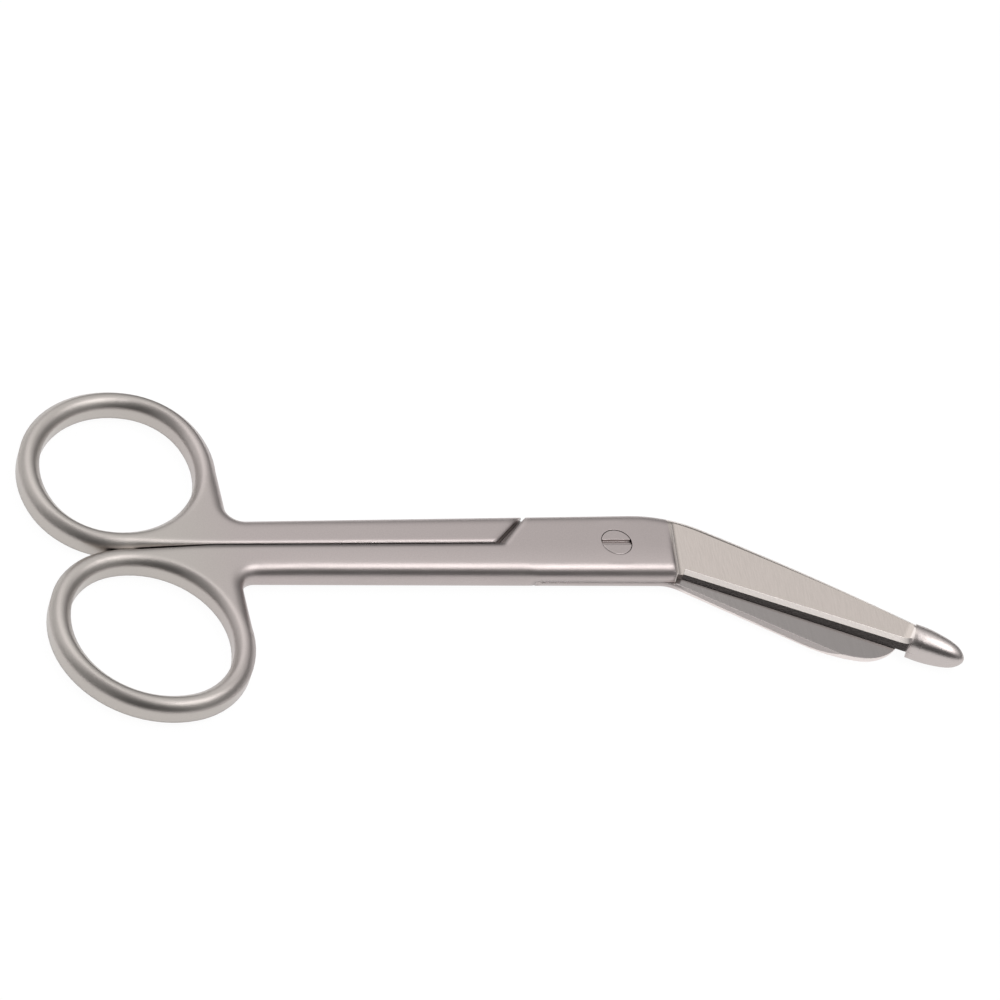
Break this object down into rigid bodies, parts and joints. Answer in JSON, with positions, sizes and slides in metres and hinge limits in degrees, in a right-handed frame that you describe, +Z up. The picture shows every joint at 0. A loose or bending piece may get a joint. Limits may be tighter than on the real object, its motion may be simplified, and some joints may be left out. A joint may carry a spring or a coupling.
{
  "type": "bandage scissors",
  "caption": "Angled bandage scissors with oval finger rings, a screwed lap joint, a long blade ending in a blunt probe and a shorter round-nosed blade, for cutting dressings off skin.",
  "frame": {"origin": "On the pivot's axis, in the plane of the lower faces that the closed scissors lie on.", "axes": "+X runs along the closed shanks from the finger rings towards the blades, +Z points up out of the upper faces, and +Y points away from the side that the blades bend to."},
  "size_m": [0.1386, 0.06, 0.0042],
  "materials": {
    "satin_steel": "satin, with finely ground blade faces"
  },
  "bodies": {
    "front": {"front_half": "satin_steel"},
    "back": {"back_half": "satin_steel", "screw": "satin_steel"}
  },
  "joints": [
    {"name": "pivot", "type": "hinge", "parent": "front", "child": "back", "pos_m": [0, 0, 0], "axis": [0, 0, -1], "range_deg": [0, 65]}
  ]
}
